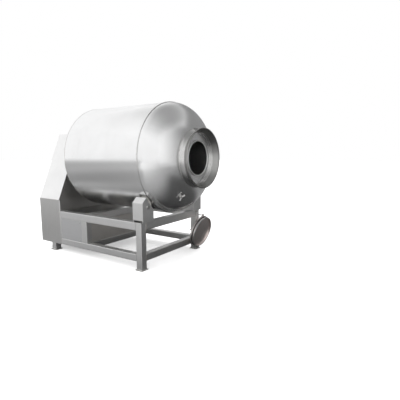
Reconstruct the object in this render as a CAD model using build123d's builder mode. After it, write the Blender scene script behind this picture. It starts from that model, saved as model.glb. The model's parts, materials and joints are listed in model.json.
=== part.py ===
import os
from math import asin, atan2, cos, degrees, radians, sin, sqrt, tan

from build123d import *

os.makedirs("parts", exist_ok=True)

# Base frame of square tube
tube = 80
tube_wall = 4
tube_corner = 6
rear_leg_inset = 120
leg_spacing_y = 1038
rail_top_z = 529
top_rail_height = 88
bottom_rail_z = 98
bottom_rail_height = 79
bay_length = 885
post_width = 90
foot_plate_size = 104
foot_plate_thickness = 10
foot_socket_radius = 7
sheet = 3
panel_recess = 2
bulkhead_recess = 10
screw_radius = 6
screw_height = 3
screw_inset = 28

# Drive housing and hood
hood_base_z = 673
hood_above_axis = 308
hood_top_half = 210
hood_bend = 14
front_plate_thickness = 10
plate_gap = 0.2
louvre_length = 120
louvre_height = 8
louvre_pitch = 24
louvre_rows = 8
louvre_columns = 2
louvre_spacing = 260
louvre_z = 470
gland_radius = 14
gland_cap_radius = 11
gland_round = 3
gland_length = 22
gland_y = 300
gland_z = 190

# Drum
drum_radius = 625
drum_rail_gap = 54
drum_wall = 8
drum_length = 1168
drum_overhang = 30
front_head_depth = 352
rear_head_depth = 146
seam_band_width = 10
seam_band_height = 5
weld_gap = 0.2

# Mouth
neck_radius = 291
neck_wall = 8
neck_inside = 45
neck_stand = 32
neck_foot_width = 36
neck_foot_height = 26
neck_foot_hollow = 0.25
seat_width = 100
seat_stand = 4
seat_thickness = 12
lip_width = 12
lip_height = 10
collar_stand = 100
collar_flare = 37
collar_bead_radius = 7

# Lifting flights inside the drum
flight_count = 3
flight_height = 120
flight_thickness = 6
flight_end_gap = 20
flight_twist = 60

# Rear hub, shaft and bearing
hub_radius = 110
hub_inside = 30
hub_outside = 40
shaft_radius = 45
shaft_flange_radius = 100
shaft_flange_thickness = 18
shaft_past_reducer = 15
shaft_tail_radius = 20
shaft_tail_length = 20
vacuum_bore_radius = 12
run_clearance = 0.05
hub_bolt_count = 8
hub_bolt_circle = 75
hub_bolt_radius = 9
hub_bolt_height = 8
bearing_room = 20
bearing_flange = 210
bearing_corner = 35
bearing_flange_thickness = 14
bearing_boss_radius = 80
bearing_depth = 30
bearing_bolt_spacing = 160
shaft_hole_clearance = 15

# Gear reducer, motor, vacuum pump
reducer_depth = 220
reducer_width = 260
reducer_height = 320
reducer_corner = 24
reducer_from_plate = 110
torque_lug_width = 70
torque_lug_height = 36
torque_lug_rise = 110
motor_radius = 100
motor_length = 300
motor_fin_height = 10
motor_fin_thickness = 4
motor_fin_count = 24
motor_neck_radius = 80
motor_neck_length = 30
union_radius = 34
union_depth = 36
union_gap = 0.3
union_room = 13.7
pipe_radius = 13
pipe_wall = 2
pump_length = 360
pump_width = 220
pump_height = 230
pump_corner = 16
pump_from_rear = 12
pump_motor_radius = 85
pump_motor_length = 190

# Support rollers
roller_radius = 75
roller_tyre_wall = 22
roller_end_gap = 13.5
roller_side_gap = 6
roller_gap = 0.3
tyre_chamfer = 2
roller_hub_gap = 0.3
axle_radius = 15
axle_head_radius = 24
axle_head_height = 8
box_ahead = 28
box_length = 143
box_wall = 6
box_bend = 8
box_drum_gap = 22
box_peak_drop = 54
box_peak_inset = 59
box_inner_drop = 35
box_slot_height = 24
box_slot_margin = 8

# Discharge valve on the front head
valve_angle = 241.3
valve_circle = 461
valve_body_radius = 16
valve_body_height = 22
valve_ball_radius = 22
valve_ball_height = 8
valve_stem_radius = 6
valve_nut_radius = 10
valve_nut_height = 6
lever_arm = 52
lever_arm_turns = (-25, 200)
lever_width = 14
lever_thickness = 5
lever_hub_radius = 13
lever_gap = 0.3

# Lid and the rod that it hangs on
lid_radius = 205
lid_front_step = 9
lid_groove_step = 19
lid_rim_width = 37
lid_plate = 6
lid_dish_depth = 20
lid_dish_wall = 8
lid_front_band = 24
lid_front_round = 3
lid_groove_width = 12
lid_flange = 20
lid_tilt = 14
lid_standoff = 106
lid_leg_offset = 34
lid_drop = 284
gasket_step = 4
gasket_gap = 0.2
lug_width = 36
lug_thickness = 8
lug_rise = 12
hanger_radius = 6
hanger_fit = 0.3
hanger_rise = 40
hanger_kick = 30
hanger_past_lug = 14
hanger_bend = 14
handle_span = 150
handle_radius = 8
handle_reach = 34
handle_bend = 16

# Places that the sizes lead to
shaft_front = rear_head_depth + hub_outside + shaft_flange_thickness
housing_setback = drum_length - drum_overhang + shaft_front + bearing_room + bearing_depth
leg_spacing_x = housing_setback + rear_leg_inset
front_x = leg_spacing_x / 2 + tube / 2
side_y = leg_spacing_y / 2 + tube / 2
inner_y = side_y - tube
post_front_x = front_x - bay_length
post_x = post_front_x - post_width / 2
housing_front_x = front_x - housing_setback
plate_rear_x = housing_front_x - front_plate_thickness
reducer_front_x = plate_rear_x - reducer_from_plate
reducer_rear_x = reducer_front_x - reducer_depth
reducer_x = (reducer_front_x + reducer_rear_x) / 2
shaft_end_x = reducer_rear_x - shaft_past_reducer
union_front_x = shaft_end_x - union_gap
union_rear_x = union_front_x - union_depth
housing_rear_x = union_rear_x - union_room - sheet
housing_depth = housing_front_x - housing_rear_x
top_rail_mid_z = rail_top_z - top_rail_height / 2
bottom_rail_mid_z = bottom_rail_z + bottom_rail_height / 2
bay_floor_z = bottom_rail_z + bottom_rail_height
bay_roof_z = rail_top_z - top_rail_height
bay_height = bay_roof_z - bay_floor_z
bay_mid_z = (bay_floor_z + bay_roof_z) / 2
drum_axis_z = rail_top_z + drum_rail_gap + drum_radius
hood_top_z = drum_axis_z + hood_above_axis
house_half = side_y + sheet
hood_lean = (house_half - hood_top_half) / (hood_top_z - hood_base_z)
drum_front_x = front_x + drum_overhang
drum_rear_x = drum_front_x - drum_length
rear_pole_x = drum_rear_x - rear_head_depth
hub_rear_x = rear_pole_x - hub_outside
flange_rear_x = hub_rear_x - shaft_flange_thickness
neck_inner = neck_radius - neck_wall
opening_radius = neck_inner - seat_width
collar_radius = neck_radius + collar_flare
neck_root_x = drum_front_x + front_head_depth * sqrt(1 - (neck_radius / drum_radius) ** 2)
seat_x = neck_root_x + seat_stand
neck_x = neck_root_x + neck_stand
collar_x = neck_root_x + collar_stand
drum_axis = Axis((0, 0, drum_axis_z), (1, 0, 0))
axis_plane = Plane(origin=(0, 0, drum_axis_z), x_dir=(1, 0, 0), z_dir=(0, -1, 0))
sides = ((-1, "left"), (1, "right"))
ends = ((1, "front"), (-1, "rear"))


def keep(piece, name):
    piece.part.label = name
    export_step(piece.part, f"parts/{name}.step")


def across_x(x, y=0, z=0):
    return Plane(origin=(x, y, z), x_dir=(0, 1, 0), z_dir=(1, 0, 0))


def across_y(x, y, z):
    return Plane(origin=(x, y, z), x_dir=(1, 0, 0), z_dir=(0, 1, 0))


def square_tube(name, plane, width, height, length):
    with BuildPart() as rail:
        with BuildSketch(plane):
            RectangleRounded(width, height, tube_corner)
            RectangleRounded(
                width - 2 * tube_wall, height - 2 * tube_wall, tube_corner - tube_wall / 2, mode=Mode.SUBTRACT
            )
        extrude(amount=length)
    keep(rail, name)


def flat_sheet(name, plane, width, height, thickness):
    with BuildPart() as panel:
        with BuildSketch(plane):
            Rectangle(width, height)
        extrude(amount=thickness)
    keep(panel, name)


def ring(name, x_from, x_to, r_inner, r_outer):
    with BuildPart() as hoop:
        with BuildSketch(across_x(x_from, 0, drum_axis_z)):
            Circle(r_outer)
            Circle(r_inner, mode=Mode.SUBTRACT)
        extrude(amount=x_to - x_from)
    keep(hoop, name)


def eccentric(radius, semi_axis):
    return degrees(asin(radius / semi_axis))


def elliptic_arc(x, depth, radius, start_turn, end_turn):
    return EllipticalCenterArc((x, 0), depth, radius, start_turn, arc_size=end_turn - start_turn)


# Legs, foot plates and rails
for end, end_name in ends:
    for side, side_name in sides:
        leg_foot = Plane((end * leg_spacing_x / 2, side * leg_spacing_y / 2, foot_plate_thickness))
        square_tube(f"leg_{end_name}_{side_name}", leg_foot, tube, tube, rail_top_z - foot_plate_thickness)

with BuildPart() as foot_plates:
    with BuildSketch():
        with GridLocations(leg_spacing_x, leg_spacing_y, 2, 2):
            RectangleRounded(foot_plate_size, foot_plate_size, tube_corner)
            Circle(foot_socket_radius, mode=Mode.SUBTRACT)
    extrude(amount=foot_plate_thickness)
keep(foot_plates, "foot_plates")

rail_rear_x = -leg_spacing_x / 2 + tube / 2
rail_length = leg_spacing_x - tube
for side, side_name in sides:
    rail_y = side * leg_spacing_y / 2
    square_tube(
        f"side_rail_top_{side_name}",
        across_x(rail_rear_x, rail_y, top_rail_mid_z),
        tube,
        top_rail_height,
        rail_length,
    )
    square_tube(
        f"side_rail_bottom_{side_name}",
        across_x(rail_rear_x, rail_y, bottom_rail_mid_z),
        tube,
        bottom_rail_height,
        rail_length,
    )

cross_rails = (
    ("front_rail_top", leg_spacing_x / 2, top_rail_mid_z, tube, top_rail_height),
    ("front_rail_bottom", leg_spacing_x / 2, bottom_rail_mid_z, tube, bottom_rail_height),
    ("bay_rail_top", post_x, top_rail_mid_z, post_width, top_rail_height),
    ("bay_rail_bottom", post_x, bottom_rail_mid_z, post_width, bottom_rail_height),
    ("rear_rail_bottom", -leg_spacing_x / 2, bottom_rail_mid_z, tube, bottom_rail_height),
)
for rail_name, rail_x, rail_z, rail_width, rail_height in cross_rails:
    square_tube(rail_name, across_y(rail_x, -inner_y, rail_z), rail_width, rail_height, 2 * inner_y)

# Closed pump bay behind the posts
panel_length = post_x - post_width / 2 - housing_front_x
panel_x = housing_front_x + panel_length / 2
panel_out_y = side_y - panel_recess
for side, side_name in sides:
    post_foot = Plane((post_x, side * leg_spacing_y / 2, bay_floor_z))
    square_tube(f"side_post_{side_name}", post_foot, post_width, tube, bay_height)
    panel_start = panel_out_y - sheet if side > 0 else -panel_out_y
    panel_plane = across_y(panel_x, panel_start, bay_mid_z)
    flat_sheet(f"side_panel_{side_name}", panel_plane, panel_length, bay_height, sheet)

bulkhead_x = post_front_x - bulkhead_recess - sheet
flat_sheet("bulkhead", across_x(bulkhead_x, 0, bay_mid_z), 2 * inner_y, bay_height, sheet)

flat_sheet("deck", Plane((panel_x, 0, rail_top_z - sheet)), panel_length, 2 * inner_y, sheet)

floor_rear_x = housing_rear_x + sheet
floor_length = bulkhead_x - floor_rear_x
floor_plane = Plane((floor_rear_x + floor_length / 2, 0, bay_floor_z))
flat_sheet("pump_floor", floor_plane, floor_length, 2 * inner_y, sheet)

with BuildPart() as panel_screws:
    for side, side_name in sides:
        screw_spot = (panel_x, side * panel_out_y, bay_mid_z)
        with BuildSketch(Plane(origin=screw_spot, x_dir=(1, 0, 0), z_dir=(0, side, 0))):
            with GridLocations(panel_length - 2 * screw_inset, bay_height - 2 * screw_inset, 2, 2):
                Circle(screw_radius)
        extrude(amount=screw_height)
keep(panel_screws, "panel_screws")

# Drive housing: sides, rear panel, hood and front plate
housing_x = (housing_front_x + housing_rear_x) / 2
housing_height = hood_base_z - bottom_rail_z
housing_mid_z = (hood_base_z + bottom_rail_z) / 2
for side, side_name in sides:
    side_start = side_y if side > 0 else -house_half
    side_plane = across_y(housing_x, side_start, housing_mid_z)
    flat_sheet(f"housing_side_{side_name}", side_plane, housing_depth, housing_height, sheet)

with BuildPart() as rear_panel:
    with BuildSketch(across_x(housing_rear_x, 0, housing_mid_z)):
        Rectangle(2 * side_y, housing_height)
        with Locations((0, louvre_z - housing_mid_z)):
            with GridLocations(louvre_spacing, louvre_pitch, louvre_columns, louvre_rows):
                SlotOverall(louvre_length, louvre_height, mode=Mode.SUBTRACT)
    extrude(amount=sheet)
keep(rear_panel, "rear_panel")

slant_sheet = sheet * sqrt(1 + hood_lean**2)


def hood_half(z, inset):
    return house_half - hood_lean * (z - hood_base_z) - inset


with BuildPart() as hood_shell:
    with BuildSketch(across_x(housing_rear_x)) as hood_outline:
        Polygon(
            (-house_half, hood_base_z),
            (house_half, hood_base_z),
            (hood_top_half, hood_top_z),
            (-hood_top_half, hood_top_z),
            align=None,
        )
        fillet(hood_outline.vertices().sort_by(Axis.Y)[-2:], hood_bend)
    extrude(amount=housing_depth)
    roof_z = hood_top_z - sheet
    with BuildSketch(across_x(housing_rear_x + sheet)) as hood_inside:
        Polygon(
            (-hood_half(hood_base_z, slant_sheet), hood_base_z),
            (hood_half(hood_base_z, slant_sheet), hood_base_z),
            (hood_half(roof_z, slant_sheet), roof_z),
            (-hood_half(roof_z, slant_sheet), roof_z),
            align=None,
        )
        fillet(hood_inside.vertices().sort_by(Axis.Y)[-2:], hood_bend - sheet)
    extrude(amount=housing_depth - sheet, mode=Mode.SUBTRACT)
keep(hood_shell, "hood_shell")

plate_inset = slant_sheet + plate_gap
plate_top_z = roof_z - plate_gap
with BuildPart() as hood_front_plate:
    with BuildSketch(across_x(plate_rear_x)) as plate_outline:
        Polygon(
            (-hood_half(hood_base_z, plate_inset), rail_top_z),
            (hood_half(hood_base_z, plate_inset), rail_top_z),
            (hood_half(hood_base_z, plate_inset), hood_base_z),
            (hood_half(plate_top_z, plate_inset), plate_top_z),
            (-hood_half(plate_top_z, plate_inset), plate_top_z),
            (-hood_half(hood_base_z, plate_inset), hood_base_z),
            align=None,
        )
        fillet(plate_outline.vertices().sort_by(Axis.Y)[-2:], hood_bend - sheet - plate_gap)
        with Locations((0, drum_axis_z)):
            Circle(shaft_radius + shaft_hole_clearance, mode=Mode.SUBTRACT)
    extrude(amount=front_plate_thickness)
keep(hood_front_plate, "hood_front_plate")

with BuildPart() as cable_gland:
    with BuildSketch(across_x(housing_rear_x, gland_y, gland_z)):
        RegularPolygon(gland_radius, 6)
    extrude(amount=-gland_length / 2)
    with BuildSketch(across_x(housing_rear_x - gland_length / 2, gland_y, gland_z)):
        Circle(gland_cap_radius)
    extrude(amount=-gland_length / 2)
    fillet(cable_gland.edges().group_by(Axis.X)[0], gland_round)
keep(cable_gland, "cable_gland")

# Drum shell: cylinder, dished heads and the seam band
ring("drum_cylinder", drum_rear_x, drum_front_x, drum_radius - drum_wall, drum_radius)
ring(
    "seam_band",
    drum_front_x - seam_band_width,
    drum_front_x,
    drum_radius + weld_gap,
    drum_radius + weld_gap + seam_band_height,
)

heads = (
    ("front_head", drum_front_x, front_head_depth, neck_radius + weld_gap, 1),
    ("rear_head", drum_rear_x, rear_head_depth, hub_radius + weld_gap, -1),
)
for head_name, head_x, head_depth, hole_radius, facing in heads:
    inner_radius = drum_radius - drum_wall
    with BuildPart() as head:
        with BuildSketch(axis_plane):
            with BuildLine():
                outer_turn = eccentric(hole_radius, drum_radius)
                inner_turn = eccentric(hole_radius, inner_radius)
                outer = elliptic_arc(head_x, head_depth, drum_radius, outer_turn, 90)
                inner = elliptic_arc(head_x, head_depth - drum_wall, inner_radius, inner_turn, 90)
                Line(outer @ 0, inner @ 0)
                Line(outer @ 1, inner @ 1)
            make_face()
            if facing < 0:
                mirror(about=Plane.YZ.offset(head_x), mode=Mode.REPLACE)
        revolve(axis=drum_axis)
    keep(head, head_name)

# Mouth: neck with its concave foot, seat with a raised lip, flared collar with a rolled bead
foot_radius = neck_radius + neck_foot_width
foot_depth = front_head_depth + weld_gap
foot_semi = drum_radius + weld_gap
with BuildPart() as neck_ring:
    with BuildSketch(axis_plane):
        with BuildLine():
            root_turn = eccentric(neck_radius, foot_semi)
            foot_turn = eccentric(foot_radius, foot_semi)
            seam = elliptic_arc(drum_front_x, foot_depth, foot_semi, root_turn, foot_turn)
            neck_root = seam @ 0
            foot_top = neck_root + Vector(neck_foot_height, 0)
            foot_mid = (foot_top + seam @ 1) / 2
            ThreePointArc(foot_top, foot_mid + (neck_root - foot_mid) * neck_foot_hollow, seam @ 1)
            Polyline(
                foot_top,
                (neck_x, neck_radius),
                (neck_x, neck_inner),
                (neck_root.X - neck_inside, neck_inner),
                (neck_root.X - neck_inside, neck_radius),
                neck_root,
            )
        make_face()
    revolve(axis=drum_axis)
keep(neck_ring, "neck_ring")

with BuildPart() as mouth_seat:
    with BuildSketch(axis_plane):
        with BuildLine():
            Polyline(
                (seat_x - seat_thickness, opening_radius),
                (seat_x + lip_height, opening_radius),
                (seat_x + lip_height, opening_radius + lip_width),
                (seat_x, opening_radius + lip_width),
                (seat_x, neck_inner - weld_gap),
                (seat_x - seat_thickness, neck_inner - weld_gap),
                close=True,
            )
        make_face()
    revolve(axis=drum_axis)
keep(mouth_seat, "mouth_seat")

with BuildPart() as mouth_collar:
    with BuildSketch(axis_plane):
        with BuildLine():
            Polyline(
                (neck_x, neck_inner),
                (neck_x, neck_radius),
                (collar_x - collar_bead_radius, collar_radius),
                (collar_x - collar_bead_radius, collar_radius - neck_wall),
                close=True,
            )
        make_face()
        with Locations((collar_x - collar_bead_radius, collar_radius - neck_wall / 2)):
            Circle(collar_bead_radius)
    revolve(axis=drum_axis)
keep(mouth_collar, "mouth_collar")

# Helical lifting flights on the inside of the cylinder
flight_length = drum_length - 2 * flight_end_gap
flight_outer = drum_radius - drum_wall - weld_gap
flight_mid = flight_outer - flight_height / 2
with BuildPart() as lifting_flights:
    with BuildLine():
        lead = Helix(
            flight_length * 360 / flight_twist,
            flight_length,
            flight_mid,
            center=(drum_rear_x + flight_end_gap, 0, drum_axis_z),
            direction=(1, 0, 0),
        )
    start = lead @ 0
    radial = (0, start.Y, start.Z - drum_axis_z)
    with BuildSketch(Plane(origin=start, x_dir=radial, z_dir=lead % 0)):
        Rectangle(flight_height, flight_thickness)
    sweep(is_frenet=True)
flight = lifting_flights.part
with BuildPart() as flight_set:
    for index in range(flight_count):
        add(flight.rotate(drum_axis, index * 360 / flight_count))
keep(flight_set, "lifting_flights")

# Rear hub, hollow drive shaft, flange bolts
ring("rear_hub", hub_rear_x, rear_pole_x + hub_inside, vacuum_bore_radius, hub_radius)

with BuildPart() as drive_shaft:
    with BuildSketch(axis_plane):
        with BuildLine():
            Polyline(
                (hub_rear_x, vacuum_bore_radius),
                (hub_rear_x, shaft_flange_radius),
                (flange_rear_x, shaft_flange_radius),
                (flange_rear_x, shaft_radius),
                (shaft_end_x, shaft_radius),
                (shaft_end_x, shaft_tail_radius),
                (shaft_end_x - shaft_tail_length, shaft_tail_radius),
                (shaft_end_x - shaft_tail_length, vacuum_bore_radius),
                close=True,
            )
        make_face()
    revolve(axis=drum_axis)
keep(drive_shaft, "drive_shaft")

with BuildPart() as hub_bolts:
    with BuildSketch(across_x(flange_rear_x, 0, drum_axis_z)):
        with PolarLocations(hub_bolt_circle, hub_bolt_count):
            RegularPolygon(hub_bolt_radius, 6)
    extrude(amount=-hub_bolt_height)
keep(hub_bolts, "hub_bolts")

# Flange bearing on the front plate
with BuildPart() as shaft_bearing:
    with BuildSketch(across_x(housing_front_x, 0, drum_axis_z)):
        RectangleRounded(bearing_flange, bearing_flange, bearing_corner)
    extrude(amount=bearing_flange_thickness)
    with BuildSketch(across_x(housing_front_x, 0, drum_axis_z)):
        Circle(bearing_boss_radius)
    extrude(amount=bearing_depth)
    with BuildSketch(across_x(housing_front_x + bearing_flange_thickness, 0, drum_axis_z)):
        with GridLocations(bearing_bolt_spacing, bearing_bolt_spacing, 2, 2):
            RegularPolygon(hub_bolt_radius, 6)
    extrude(amount=hub_bolt_height)
    with BuildSketch(across_x(housing_front_x, 0, drum_axis_z)):
        Circle(shaft_radius + run_clearance)
    extrude(amount=bearing_depth, mode=Mode.SUBTRACT)
keep(shaft_bearing, "shaft_bearing")

# Shaft-mounted gear reducer with its torque lug, and the motor below it
with BuildPart() as gear_reducer:
    with BuildSketch(across_x(reducer_front_x, 0, drum_axis_z)):
        RectangleRounded(reducer_width, reducer_height, reducer_corner)
    extrude(amount=-reducer_depth)
    with BuildSketch(across_x(reducer_front_x, 0, drum_axis_z + torque_lug_rise)):
        Rectangle(torque_lug_width, torque_lug_height)
    extrude(amount=reducer_from_plate)
    with BuildSketch(across_x(reducer_front_x, 0, drum_axis_z)):
        Circle(shaft_radius + run_clearance)
    extrude(amount=-reducer_depth, mode=Mode.SUBTRACT)
keep(gear_reducer, "gear_reducer")

motor_top_z = drum_axis_z - reducer_height / 2
motor_core = motor_radius - motor_fin_height
with BuildPart() as drive_motor:
    with BuildSketch(Plane((reducer_x, 0, motor_top_z))):
        Circle(motor_neck_radius)
    extrude(amount=-motor_neck_length)
    with BuildSketch(Plane((reducer_x, 0, motor_top_z - motor_neck_length))):
        Circle(motor_core)
        with PolarLocations(motor_core, motor_fin_count):
            Rectangle(2 * motor_fin_height, motor_fin_thickness)
    extrude(amount=-motor_length)
keep(drive_motor, "drive_motor")

# Rotary union, vacuum pipe and pump
with BuildPart() as rotary_union:
    with BuildSketch(across_x(union_rear_x, 0, drum_axis_z)):
        Circle(union_radius)
    extrude(amount=union_depth)
    with BuildSketch(across_x(union_front_x, 0, drum_axis_z)):
        Circle(shaft_tail_radius + run_clearance)
    extrude(amount=-(shaft_tail_length + union_gap), mode=Mode.SUBTRACT)
keep(rotary_union, "rotary_union")

pump_rear_x = housing_rear_x + sheet + pump_from_rear
pump_floor_z = bay_floor_z + sheet
pump_top_z = pump_floor_z + pump_height
pipe_x = union_rear_x + union_depth / 2
with BuildPart() as vacuum_pipe:
    with BuildSketch(Plane((pipe_x, 0, pump_top_z))):
        Circle(pipe_radius)
        Circle(pipe_radius - pipe_wall, mode=Mode.SUBTRACT)
    extrude(amount=drum_axis_z - union_radius - pump_top_z)
keep(vacuum_pipe, "vacuum_pipe")

with BuildPart() as vacuum_pump:
    with BuildSketch(Plane((pump_rear_x + pump_length / 2, 0, pump_floor_z))):
        RectangleRounded(pump_length, pump_width, pump_corner)
    extrude(amount=pump_height)
    fillet(vacuum_pump.faces().sort_by(Axis.Z)[-1].edges(), pump_corner / 2)
    with BuildSketch(across_x(pump_rear_x + pump_length, 0, pump_floor_z + pump_height / 2)):
        Circle(pump_motor_radius)
    extrude(amount=pump_motor_length)
keep(vacuum_pump, "vacuum_pump")

# Support rollers in their sheet boxes on the front legs
box_front_x = front_x + box_ahead
box_rear_x = box_front_x - box_length
box_peak_y = side_y - box_peak_inset
box_peak_z = drum_axis_z - sqrt((drum_radius + box_drum_gap) ** 2 - box_peak_y**2)
box_side_top_z = box_peak_z - box_peak_drop
roller_offset = side_y - box_wall - roller_side_gap - roller_radius
box_inner_y = roller_offset - roller_radius - roller_side_gap - box_wall
roller_reach = drum_radius + roller_gap + roller_radius
roller_x = (box_front_x + box_rear_x) / 2
roller_z = drum_axis_z - sqrt(roller_reach**2 - roller_offset**2)
box_inner_top_z = roller_z - box_inner_drop
roller_width = box_length - 2 * box_wall - 2 * roller_end_gap
roller_rear_x = roller_x - roller_width / 2
tyre_bore = roller_radius - roller_tyre_wall
for side, side_name in sides:
    roller_y = side * roller_offset

    with BuildPart() as roller_box:
        with BuildSketch(across_x(box_rear_x)) as box_outline:
            Polygon(
                (side * side_y, rail_top_z),
                (side * side_y, box_side_top_z),
                (side * box_peak_y, box_peak_z),
                (side * box_inner_y, box_inner_top_z),
                (side * box_inner_y, rail_top_z),
                align=None,
            )
            fillet(box_outline.vertices().sort_by(Axis.Y)[-2], box_bend)
        extrude(amount=box_length)
        with BuildSketch(across_x(box_rear_x + box_wall)):
            Polygon(
                (side * (side_y - box_wall), rail_top_z),
                (side * (side_y - box_wall), box_side_top_z),
                (side * box_peak_y, box_peak_z - box_wall),
                (side * (box_inner_y + box_wall), box_peak_z),
                (side * (box_inner_y + box_wall), rail_top_z),
                align=None,
            )
        extrude(amount=box_length - 2 * box_wall, mode=Mode.SUBTRACT)
        slot_z = rail_top_z + box_slot_height / 2
        with BuildSketch(across_y(roller_x, side * (side_y - 2 * box_wall), slot_z)):
            Rectangle(box_length - 2 * box_slot_margin, box_slot_height)
        extrude(amount=2 * box_wall, both=True, mode=Mode.SUBTRACT)
        with BuildSketch(across_x(box_rear_x, roller_y, roller_z)):
            Circle(axle_radius + run_clearance)
        extrude(amount=box_length, mode=Mode.SUBTRACT)
    keep(roller_box, f"roller_box_{side_name}")

    with BuildPart() as roller_axle:
        with BuildSketch(across_x(box_rear_x, roller_y, roller_z)):
            Circle(axle_radius)
        extrude(amount=box_length)
        with BuildSketch(across_x(box_front_x, roller_y, roller_z)):
            RegularPolygon(axle_head_radius, 6)
        extrude(amount=axle_head_height)
        with BuildSketch(across_x(box_rear_x, roller_y, roller_z)):
            RegularPolygon(axle_head_radius, 6)
        extrude(amount=-axle_head_height)
    keep(roller_axle, f"roller_axle_{side_name}")

    with BuildPart() as roller_tyre:
        with BuildSketch(across_x(roller_rear_x, roller_y, roller_z)):
            Circle(roller_radius)
            Circle(tyre_bore + weld_gap, mode=Mode.SUBTRACT)
        extrude(amount=roller_width)
        chamfer(roller_tyre.edges().filter_by(GeomType.CIRCLE).sort_by(SortBy.RADIUS)[-2:], tyre_chamfer)
    keep(roller_tyre, f"roller_tyre_{side_name}")

    hub_length = box_length - 2 * box_wall - 2 * roller_hub_gap
    with BuildPart() as roller_hub:
        with BuildSketch(across_x(roller_rear_x, roller_y, roller_z)):
            Circle(tyre_bore)
        extrude(amount=roller_width)
        with BuildSketch(across_x(roller_x - hub_length / 2, roller_y, roller_z)):
            Circle(axle_head_radius)
        extrude(amount=hub_length)
        with BuildSketch(across_x(roller_x - hub_length / 2, roller_y, roller_z)):
            Circle(axle_radius + run_clearance)
        extrude(amount=hub_length, mode=Mode.SUBTRACT)
    keep(roller_hub, f"roller_hub_{side_name}")

# Discharge valve: body square to the dished head, lever in the tangent plane
valve_run = front_head_depth * sqrt(1 - (valve_circle / drum_radius) ** 2)
valve_turn = radians(valve_angle)
slope_x = valve_run / front_head_depth**2
slope_r = valve_circle / drum_radius**2
lean = atan2(slope_r, slope_x)
out_y = cos(valve_turn)
out_z = sin(valve_turn)
valve_point = (
    drum_front_x + valve_run,
    valve_circle * out_y,
    drum_axis_z + valve_circle * out_z,
)
valve_plane = Plane(
    origin=valve_point,
    x_dir=(sin(lean), -cos(lean) * out_y, -cos(lean) * out_z),
    z_dir=(cos(lean), sin(lean) * out_y, sin(lean) * out_z),
)
stem_height = lever_thickness + 2 * lever_gap
with BuildPart() as valve_body:
    with BuildSketch(valve_plane):
        Circle(valve_body_radius)
    extrude(amount=valve_body_height)
    with BuildSketch(valve_plane.offset((valve_body_height - valve_ball_height) / 2)):
        RegularPolygon(valve_ball_radius, 8)
    extrude(amount=valve_ball_height)
    with BuildSketch(valve_plane.offset(valve_body_height)):
        Circle(valve_stem_radius)
    extrude(amount=stem_height)
    with BuildSketch(valve_plane.offset(valve_body_height + stem_height)):
        RegularPolygon(valve_nut_radius, 6)
    extrude(amount=valve_nut_height)
keep(valve_body, "valve_body")

with BuildPart() as valve_lever:
    with BuildSketch(valve_plane.offset(valve_body_height + lever_gap)):
        Circle(lever_hub_radius)
        for arm_turn in lever_arm_turns:
            with PolarLocations(lever_arm / 2, 1, arm_turn):
                SlotOverall(lever_arm, lever_width)
        Circle(valve_stem_radius + run_clearance, mode=Mode.SUBTRACT)
    extrude(amount=lever_thickness)
keep(valve_lever, "valve_lever")

# Lid on its hanger rod
tilt = radians(lid_tilt)
lid_y = leg_spacing_y / 2 - lid_leg_offset
lid_x = front_x + lid_standoff
lid_z = rail_top_z - lid_drop
lid_front_radius = lid_radius - lid_front_step
lid_groove_radius = lid_radius - lid_groove_step
lid_inner_radius = lid_radius - lid_rim_width
gasket_radius = lid_radius - gasket_step
dish_radius = lid_front_radius - lid_dish_wall
plate_back = lid_dish_depth + lid_plate
lid_face = Plane(origin=(lid_x, lid_y, lid_z), x_dir=(0, 1, 0), z_dir=(cos(tilt), 0, -sin(tilt)))
lid_section = Plane(origin=(lid_x, lid_y, lid_z), x_dir=(sin(tilt), 0, cos(tilt)), z_dir=(0, 1, 0))
lid_axis = Axis((lid_x, lid_y, lid_z), (cos(tilt), 0, -sin(tilt)))
groove_back = lid_front_band + lid_groove_width
lid_depth = groove_back + lid_flange
lug_reach = lid_radius + lug_rise
lug_depth = lid_depth - lug_thickness / 2
hanger_z = lid_z + lug_reach * cos(tilt) + lug_depth * sin(tilt)
hanger_length = lid_standoff - lug_depth * cos(tilt) + lug_reach * sin(tilt) + hanger_past_lug
lug_hole_radius = hanger_radius / cos(tilt) + lug_thickness / 2 * tan(tilt) + hanger_fit
with BuildPart() as lid_disc:
    with BuildSketch(lid_section):
        with BuildLine():
            Polyline(
                (0, -lid_dish_depth),
                (dish_radius, -lid_dish_depth),
                (dish_radius, 0),
                (lid_front_radius, 0),
                (lid_front_radius, -lid_front_band),
                (lid_groove_radius, -lid_front_band),
                (lid_groove_radius, -groove_back),
                (lid_radius, -groove_back),
                (lid_radius, -lid_depth),
                (lid_inner_radius, -lid_depth),
                (lid_inner_radius, -plate_back),
                (0, -plate_back),
                close=True,
            )
        make_face()
    revolve(axis=lid_axis)
    fillet(lid_disc.faces().sort_by(lid_axis)[-1].edges(), lid_front_round)
    with BuildSketch(lid_face.offset(-lid_depth)):
        with Locations((0, lug_reach)):
            Circle(lug_width / 2)
        with Locations((0, (lug_reach + lid_inner_radius) / 2)):
            Rectangle(lug_width, lug_reach - lid_inner_radius)
        with Locations((0, lug_reach)):
            Circle(lug_hole_radius, mode=Mode.SUBTRACT)
    extrude(amount=lug_thickness)
keep(lid_disc, "lid_disc")

with BuildPart() as lid_gasket:
    with BuildSketch(lid_face.offset(-groove_back + gasket_gap)):
        Circle(gasket_radius)
        Circle(lid_groove_radius + gasket_gap, mode=Mode.SUBTRACT)
    extrude(amount=lid_groove_width - 2 * gasket_gap)
keep(lid_gasket, "lid_gasket")

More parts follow.
